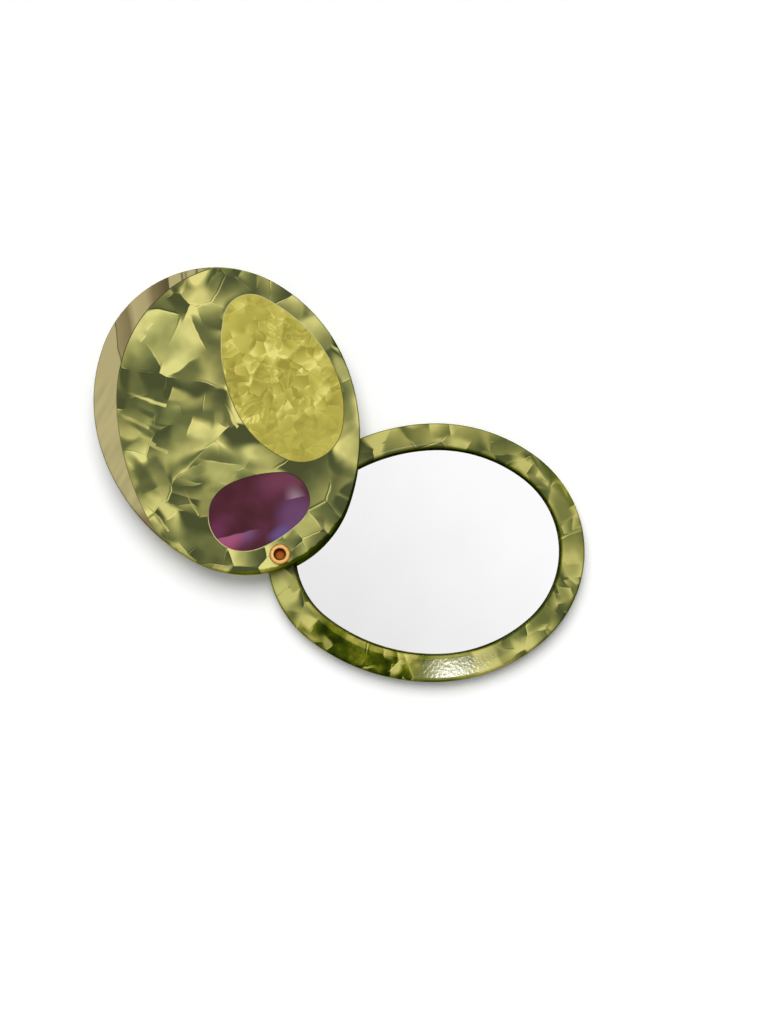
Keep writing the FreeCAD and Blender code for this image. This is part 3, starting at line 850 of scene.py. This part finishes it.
def floor_paper():
    """White paper, which glows a little where it is seen."""
    graph = new_material("floor_paper")
    graph.tree.nodes.clear()
    paper = graph.add("ShaderNodeBsdfDiffuse", {"Color": (FLOOR_SHADE, FLOOR_SHADE, FLOOR_SHADE, 1)})
    path = graph.add("ShaderNodeLightPath", {}).outputs
    strength = graph.math("MULTIPLY", seen_rays(graph, path), FLOOR_GLOW)
    glow = graph.add("ShaderNodeEmission", {"Strength": strength})
    both = graph.add("ShaderNodeAddShader", {0: paper.outputs[0], 1: glow.outputs[0]})
    graph.add("ShaderNodeOutputMaterial", {"Surface": both.outputs[0]})
    return graph.owner


def make_floor():
    mesh = bpy.data.meshes.new("floor")
    corners = [(x * FLOOR_HALF, y * FLOOR_HALF, 0) for x, y in ((-1, -1), (1, -1), (1, 1), (-1, 1))]
    mesh.from_pydata(corners, [], [(0, 1, 2, 3)])
    mesh.materials.append(floor_paper())
    floor = bpy.data.objects.new("floor", mesh)
    bpy.context.collection.objects.link(floor)


SKY_LIGHT = 0.32
# The backdrop that reflections show changes from dim to white along an axis.
BACKDROP_AXIS = (1.3, 1.3, 0)
BACKDROP_SPAN = (0.09, 0.25)
BACKDROP_LIGHT = (0.8, 1.0)


def make_world():
    """Even light all round, and a backdrop overhead that is whiter on the far right."""
    world = bpy.data.worlds.new("studio")
    bpy.context.scene.world = world
    graph = Graph(world)
    sky = graph.tree.nodes["Background"]
    graph.feed(sky.inputs["Color"], WHITE)
    graph.feed(sky.inputs["Strength"], SKY_LIGHT)
    direction = graph.add("ShaderNodeTexCoord", {}).outputs["Generated"]
    sideways = graph.vector("DOT_PRODUCT", direction, BACKDROP_AXIS)
    level = graph.span(sideways, *BACKDROP_SPAN, *BACKDROP_LIGHT)
    path = graph.add("ShaderNodeLightPath", {}).outputs
    strength = graph.math("MAXIMUM", level, path["Is Camera Ray"])
    shown = graph.add("ShaderNodeBackground", {"Color": WHITE, "Strength": strength})
    shaders = {0: seen_rays(graph, path), 1: sky.outputs[0], 2: shown.outputs[0]}
    choose = graph.add("ShaderNodeMixShader", shaders)
    graph.feed(graph.tree.nodes["World Output"].inputs["Surface"], choose.outputs[0])


# The main lamp: its strength, its spread, and the direction that it shines from.
SUN_LIGHT = 2.45
SUN_SPREAD = math.radians(50)
SUN_FROM = (-0.06, 0.47, 0.88)


def make_sun():
    lamp = bpy.data.lights.new("key", "SUN")
    lamp.energy = SUN_LIGHT
    lamp.angle = SUN_SPREAD
    holder = bpy.data.objects.new("key", lamp)
    holder.rotation_euler = Vector(SUN_FROM).to_track_quat("Z", "Y").to_euler()
    holder.visible_glossy = False
    bpy.context.collection.objects.link(holder)


# The small lamp: its place, its length and width, and its light in watts.
GLINT_PLACE = Vector((26, 15.5, 693)) * MM
GLINT_SIZE = (14 * MM, 8 * MM)
GLINT_LIGHT = 0.12


def make_glint():
    """A small lamp overhead that shows only in reflections, as a glint on the ring's near side."""
    lamp = bpy.data.lights.new("glint", "AREA")
    lamp.shape = "RECTANGLE"
    lamp.size, lamp.size_y = GLINT_SIZE
    lamp.energy = GLINT_LIGHT
    holder = bpy.data.objects.new("glint", lamp)
    holder.location = GLINT_PLACE
    holder.visible_camera = False
    holder.visible_diffuse = False
    bpy.context.collection.objects.link(holder)


make_floor()
make_world()
make_sun()
make_glint()


# Camera

# The photograph's height and scale in pixels, and where the camera stands from the point it aims at.
IMAGE_HEIGHT = 1023
PIXELS_PER_MM = 3.754
CAMERA_DISTANCE = 700 * MM
ELEVATION = math.radians(82)
AZIMUTH = math.radians(-1.89)
AIM = Vector((-11.59, 11.66, 0)) * MM


def make_camera():
    """A camera that shows the photograph's scale at the point it aims at."""
    camera = bpy.data.cameras.new("camera")
    camera.sensor_width = 36
    camera.lens = camera.sensor_width * PIXELS_PER_MM / MM * CAMERA_DISTANCE / IMAGE_HEIGHT
    camera.clip_start = 0.01
    holder = bpy.data.objects.new("camera", camera)
    right = Vector((math.cos(AZIMUTH), math.sin(AZIMUTH), 0))
    level = Vector((-math.sin(AZIMUTH), math.cos(AZIMUTH), 0))
    ahead = level * math.cos(ELEVATION) - Vector((0, 0, math.sin(ELEVATION)))
    up = right.cross(ahead)
    turn = Matrix((right, up, -ahead)).transposed().to_4x4()
    holder.matrix_world = Matrix.Translation(AIM - ahead * CAMERA_DISTANCE) @ turn
    bpy.context.collection.objects.link(holder)
    bpy.context.scene.camera = holder


make_camera()
bpy.context.scene.view_settings.view_transform = "Standard"
